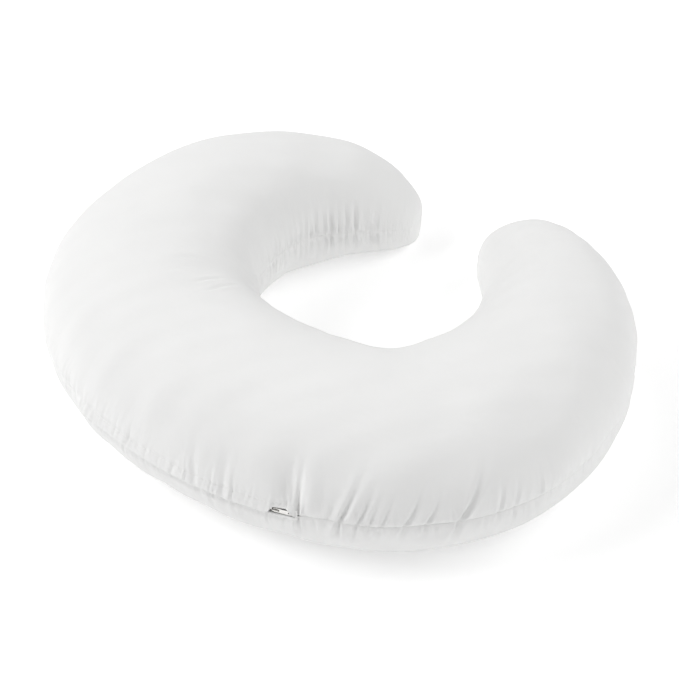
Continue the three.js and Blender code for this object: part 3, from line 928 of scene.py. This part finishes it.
def add_node(tree, kind, links=None, **values):
    """A node with some inputs set and others linked. Values and links are by socket name or index."""
    made = tree.nodes.new(kind)
    for name, value in values.items():
        if hasattr(made, name):
            setattr(made, name, value)
        else:
            made.inputs[name.replace("_", " ")].default_value = value
    for name, source in (links or {}).items():
        tree.links.new(source, made.inputs[name])
    return made


def object_places(tree):
    return add_node(tree, "ShaderNodeTexCoord").outputs["Object"]


def woven_places(tree):
    """Places on the flat cloth, from the cloth UV map."""
    return add_node(tree, "ShaderNodeUVMap", uv_map="cloth").outputs["UV"]


def noise(tree, places, scale, detail=2.0, roughness=0.5):
    return add_node(
        tree, "ShaderNodeTexNoise", {"Vector": places}, Scale=scale, Detail=detail, Roughness=roughness
    ).outputs["Fac"]


def streaks(tree, places, scales, **settings):
    """Noise whose scale is its own along each axis."""
    scaled = add_node(tree, "ShaderNodeMapping", {"Vector": places}, Scale=scales).outputs["Vector"]
    return noise(tree, scaled, 1.0, **settings)


def emboss(tree, shader, height, distance, strength=1.0):
    """Adds a bump on top of those that the shader already has."""
    normal = shader.inputs["Normal"]
    links = {"Height": height}
    if normal.is_linked:
        links["Normal"] = normal.links[0].from_socket
    made = add_node(tree, "ShaderNodeBump", links, Distance=distance, Strength=strength)
    tree.links.new(made.outputs["Normal"], normal)


def calculate(tree, operation, first, second):
    """A Math node on two sockets or numbers."""
    made = tree.nodes.new("ShaderNodeMath")
    made.operation = operation
    for socket, value in zip(made.inputs, (first, second)):
        if isinstance(value, (int, float)):
            socket.default_value = value
        else:
            tree.links.new(value, socket)
    return made.outputs["Value"]


def vary(tree, shader, socket, amount, low, high):
    """Links a socket to a value or colour that runs from low to high with an amount."""
    ramp = tree.nodes.new("ShaderNodeValToRGB")
    for element, value in zip(ramp.color_ramp.elements, (low, high)):
        element.color = (*value, 1) if hasattr(value, "__len__") else (value, value, value, 1)
    tree.links.new(amount, ramp.inputs["Fac"])
    tree.links.new(ramp.outputs["Color"], shader.inputs[socket])


def weave(tree, places, pitch):
    """The height of a plain weave with threads that pitch apart, from 0 to 1."""
    settings = {"Scale": 2 * pi / (20 * pitch), "Distortion": 0.4, "Detail": 1.0, "Detail_Scale": 3.0}
    heights = []
    for axis in ("X", "Y"):
        wave = add_node(tree, "ShaderNodeTexWave", {"Vector": places}, bands_direction=axis, **settings)
        heights.append(wave.outputs["Fac"])
    return calculate(tree, "MULTIPLY", *heights)


def cloth_material(name, color, shade, pitch, crumple_depth):
    """Plain-woven cotton: a fine weave, a faint sheen, and small crumples that run into the seams."""
    material, tree, shader = new_material(
        name, color, 0.9, Sheen_Weight=0.12, Sheen_Roughness=0.5, Specular_IOR_Level=0.25
    )
    places = woven_places(tree)
    near_seam = add_node(tree, "ShaderNodeAttribute", attribute_name="near_seam").outputs["Fac"]
    crumples = calculate(tree, "MULTIPLY", streaks(tree, places, (230, 38, 1)), near_seam)
    soft = streaks(tree, places, (24, 24, 1), detail=3.0)
    slub = streaks(tree, places, (420, 3200, 1), detail=1.0)
    emboss(tree, shader, soft, 1.2 * MM)
    emboss(tree, shader, crumples, crumple_depth)
    emboss(tree, shader, weave(tree, places, pitch), 0.05 * MM, strength=0.6)
    slubs = calculate(tree, "MULTIPLY", slub, 0.3)
    mottled = calculate(tree, "ADD", calculate(tree, "MULTIPLY", soft, 0.7), slubs)
    vary(tree, shader, "Base Color", mottled, shade, color)
    vary(tree, shader, "Roughness", slub, 0.8, 0.98)
    return material


def diagonal_bands(tree, places, scale, distortion):
    """Parallel slanting ridges, from 0 to 1."""
    settings = {"bands_direction": "DIAGONAL", "Scale": scale, "Distortion": distortion}
    return add_node(tree, "ShaderNodeTexWave", {"Vector": places}, **settings).outputs["Fac"]


def thread_material():
    """Twisted polyester thread."""
    material, tree, shader = new_material("thread", (0.9, 0.9, 0.89), 0.6, Sheen_Weight=0.2)
    places = object_places(tree)
    twist = diagonal_bands(tree, places, scale=700.0, distortion=1.0)
    emboss(tree, shader, twist, 0.06 * MM)
    vary(tree, shader, "Base Color", noise(tree, places, 900.0), (0.84, 0.84, 0.83), (0.93, 0.93, 0.92))
    return material


def tape_material():
    """Herringbone-woven polyester tape."""
    material, tree, shader = new_material("zip_tape", (0.9, 0.9, 0.89), 0.75, Sheen_Weight=0.15)
    places = woven_places(tree)
    ribs = diagonal_bands(tree, places, scale=430.0, distortion=0.5)
    height = calculate(tree, "ADD", ribs, weave(tree, places, 0.5 * MM))
    emboss(tree, shader, height, 0.08 * MM)
    vary(tree, shader, "Base Color", ribs, (0.83, 0.83, 0.82), (0.93, 0.93, 0.92))
    return material


def nylon_material():
    """Translucent white monofilament."""
    material, tree, shader = new_material(
        "nylon_coil", (0.93, 0.93, 0.92), 0.35, Subsurface_Weight=0.2, Subsurface_Scale=0.4 * MM
    )
    places = object_places(tree)
    vary(tree, shader, "Roughness", noise(tree, places, 1500.0), 0.25, 0.45)
    vary(tree, shader, "Base Color", noise(tree, places, 300.0), (0.88, 0.88, 0.87), (0.95, 0.95, 0.94))
    return material


def nickel_material():
    """Satin nickel plate with fine scratches and a slightly uneven tone."""
    material, tree, shader = new_material("nickel", (0.76, 0.75, 0.73), 0.4, Metallic=1.0)
    places = object_places(tree)
    scratches = streaks(tree, places, (6000, 900, 900), detail=3.0)
    cloudy = noise(tree, places, 400.0)
    emboss(tree, shader, scratches, 0.01 * MM, strength=0.5)
    vary(tree, shader, "Roughness", scratches, 0.3, 0.5)
    vary(tree, shader, "Base Color", cloudy, (0.7, 0.69, 0.67), (0.82, 0.81, 0.79))
    return material


def fibre_material():
    """Carded polyester fibre: a matted tangle."""
    material, tree, shader = new_material("fibre", (0.94, 0.94, 0.94), 1.0, Sheen_Weight=0.4)
    places = object_places(tree)
    strands = streaks(tree, places, (900, 260, 500), detail=6.0, roughness=0.7)
    emboss(tree, shader, noise(tree, places, 60.0, detail=4.0), 4 * MM)
    emboss(tree, shader, strands, 0.6 * MM)
    vary(tree, shader, "Base Color", strands, (0.82, 0.82, 0.82), (0.97, 0.97, 0.97))
    return material


def floor_material():
    """A white floor that glows a little, as an overexposed studio sweep does."""
    material, tree, shader = new_material("studio_floor", (0.9, 0.9, 0.9), 0.9, Emission_Strength=0.26)
    shader.inputs["Emission Color"].default_value = (1, 1, 1, 1)
    emboss(tree, shader, noise(tree, object_places(tree), 300.0), 0.05 * MM)
    return material


def finish_metal(node, material):
    """Rounds the edges of a metal CAD node and gives it its material."""
    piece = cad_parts[node]
    edges = piece.modifiers.new("edges", "BEVEL")
    edges.width = 0.18 * MM
    edges.segments = 3
    edges.angle_limit = radians(35)
    for material_slot in piece.material_slots:
        material_slot.link = "OBJECT"
        material_slot.material = material


# ---------- floor, lights and camera ----------


FLOOR_SIDE = 12.0
FLOOR_DROP = 0.2 * MM  # below the pillow, so that the two don't share a plane
WORLD_STRENGTH = 0.395

LAMP_SIZE = 2.4
LAMP_DISTANCE = 3.6
LAMP_ELEVATION = 42
LAMPS = (("key", -57, 62), ("side", -100, 21), ("front", 70, 15), ("fill", 130, 41))  # azimuth, power

CAMERA_AZIMUTH = 31.8
CAMERA_ELEVATION = 42.8
CAMERA_DISTANCE = 2.954
CAMERA_LENS = 169.8
CAMERA_AIM = Vector((0, 0, 58.5 * MM))


def make_floor():
    corners = np.array([(-1, -1, 0), (1, -1, 0), (1, 1, 0), (-1, 1, 0)]) * FLOOR_SIDE / 2
    mesh = mesh_from("floor", corners, [[0, 1, 2, 3]])
    floor = new_object("floor", mesh)
    floor.location.z = -FLOOR_DROP
    mesh.materials.append(floor_material())


def make_world():
    """An even white light from all round."""
    world = bpy.data.worlds.new("studio")
    world.use_nodes = True
    background = world.node_tree.nodes["Background"]
    background.inputs["Color"].default_value = (1, 1, 1, 1)
    background.inputs["Strength"].default_value = WORLD_STRENGTH
    bpy.context.scene.world = world


def direction(azimuth, elevation):
    """The way from the pillow to a viewer or a lamp. Azimuth 0 is behind the zip, on the -Y side."""
    azimuth, elevation = radians(azimuth), radians(elevation)
    return Vector((sin(azimuth) * cos(elevation), -cos(azimuth) * cos(elevation), sin(elevation)))


def add_lamp(name, azimuth, power):
    """A large round area light that faces the pillow."""
    light = bpy.data.lights.new(name, "AREA")
    light.shape = "DISK"
    light.size = LAMP_SIZE
    light.energy = power
    lamp = new_object(name, light)
    towards = direction(azimuth, LAMP_ELEVATION)
    lamp.location = LAMP_DISTANCE * towards
    lamp.rotation_euler = towards.to_track_quat("Z", "Y").to_euler()


def add_camera():
    back = direction(CAMERA_AZIMUTH, CAMERA_ELEVATION)
    camera_data = bpy.data.cameras.new("camera")
    camera_data.lens = CAMERA_LENS
    camera_data.sensor_width = 36
    camera_data.clip_end = 50
    camera = new_object("camera", camera_data)
    camera.location = CAMERA_AIM + CAMERA_DISTANCE * back
    camera.rotation_euler = back.to_track_quat("Z", "Y").to_euler()
    bpy.context.scene.camera = camera


# ---------- the assembly ----------


def build_cover(fabric, thread):
    """The cover's two panels, their seam, and the stitches that hold the zip's tapes."""
    stations = cloth_stations(1.1 * MM, 2.8 * MM)
    shares = row_shares(0.5 * MM, 8 * MM)
    puckers = simulated_puckers()
    top = Panel(1, stations, shares)
    bottom = Panel(-1, stations, shares)
    upper = make_cover_panel(
        top, "cover_top", OUTER_GATHERS, INNER_GATHERS, TOP_CREASES, TOP_DENTS, puckers[1], fabric
    )
    outer, inner = carried_below(OUTER_GATHERS, 0.55), carried_below(INNER_GATHERS, 0.85)
    lower = make_cover_panel(bottom, "cover_bottom", outer, inner, (), (), puckers[-1], fabric)

    left_end = ARCS[0][0] * (ZIP_MIDDLE - LEFT_CLOSING[1])
    right_end = ARCS[0][0] * (ZIP_MIDDLE + RIGHT_CLOSING[1])
    near_tip = HALF_LENGTH - 6 * MM
    runs = [
        seam_run(upper, lower, stations, 0, right_end, near_tip),
        seam_run(upper, lower, stations, -1, -near_tip, near_tip),
        seam_run(upper, lower, stations, 0, -near_tip, left_end),
    ]
    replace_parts(make_seam_stitches("cover_seam_stitches", runs, thread), "cover_seam_thread")
    for half, panel, grid in (("upper", top, upper), ("lower", bottom, lower)):
        stitching = make_zip_stitching(f"zip_{half}_stitches", panel, grid, thread)
        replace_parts(stitching, f"zip_{half}_stitching")


def build_zip(thread):
    """The zip's tapes, coils and bar tacks, and its slider and pull tab from the CAD."""
    tape, nylon = tape_material(), nylon_material()
    for side, half in ((1, "upper"), (-1, "lower")):
        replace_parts(make_tape(side, f"zip_{half}_woven_tape", tape), f"zip_{half}_tape")
        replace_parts(make_coil(side, f"zip_{half}_nylon_coil", nylon), f"zip_{half}_coil")
    for side, end in ((1, "right"), (-1, "left")):
        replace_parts(make_bar_tack(side, f"zip_{end}_tack", thread), f"bar_tack_{end}")
    nickel = nickel_material()
    for node in ("slider_body", "pull_tab"):
        finish_metal(node, nickel)


def build_inside(thread):
    """The liner with its seam and its gap sewn shut by hand, and the filling."""
    stations = cloth_stations(3 * MM, 5 * MM)
    shares = row_shares(2 * MM, 9 * MM)
    cloth = cloth_material("liner_cloth", (0.88, 0.88, 0.86), (0.84, 0.84, 0.82), 0.5 * MM, 0.8 * MM)
    for side, half in ((1, "top"), (-1, "bottom")):
        make_liner_panel(side, f"liner_{half}", stations, shares, cloth)

    gap = ARCS[0][0] * STUFFING_GAP
    near_tip = HALF_LENGTH - 12 * MM
    edge = Panel(1, stations, shares)
    grid = edge.base - (LINER_DEPTH + edge.inner_layer_depth())[..., None] * edge.normals
    runs = [
        seam_run(grid, grid, stations, -1, -near_tip, -gap),
        seam_run(grid, grid, stations, 0, -near_tip, near_tip),
        seam_run(grid, grid, stations, -1, gap, near_tip),
    ]
    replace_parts(make_seam_stitches("liner_seam_stitches", runs, thread), "liner_seam_thread")
    starts, ends, outward = seam_run(grid, grid, stations, -1, -gap, gap)
    slant = np.array([0, 0, 1.4 * MM])
    by_hand = [(starts - slant, ends + slant, outward)]
    closing = make_seam_stitches("liner_hand_stitches", by_hand, thread)
    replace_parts(closing, "liner_closing_stitches")
    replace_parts(make_filling(stations, shares, fibre_material()), "fibre_fill")


def build_studio():
    bpy.context.scene.view_settings.view_transform = "Standard"
    make_floor()
    make_world()
    for name, azimuth, power in LAMPS:
        add_lamp(name, azimuth, power)
    add_camera()


thread = thread_material()
fabric = cloth_material("percale", (0.83, 0.83, 0.825), (0.79, 0.79, 0.785), 0.4 * MM, 1.6 * MM)
build_cover(fabric, thread)
build_zip(thread)
build_inside(thread)
build_studio()
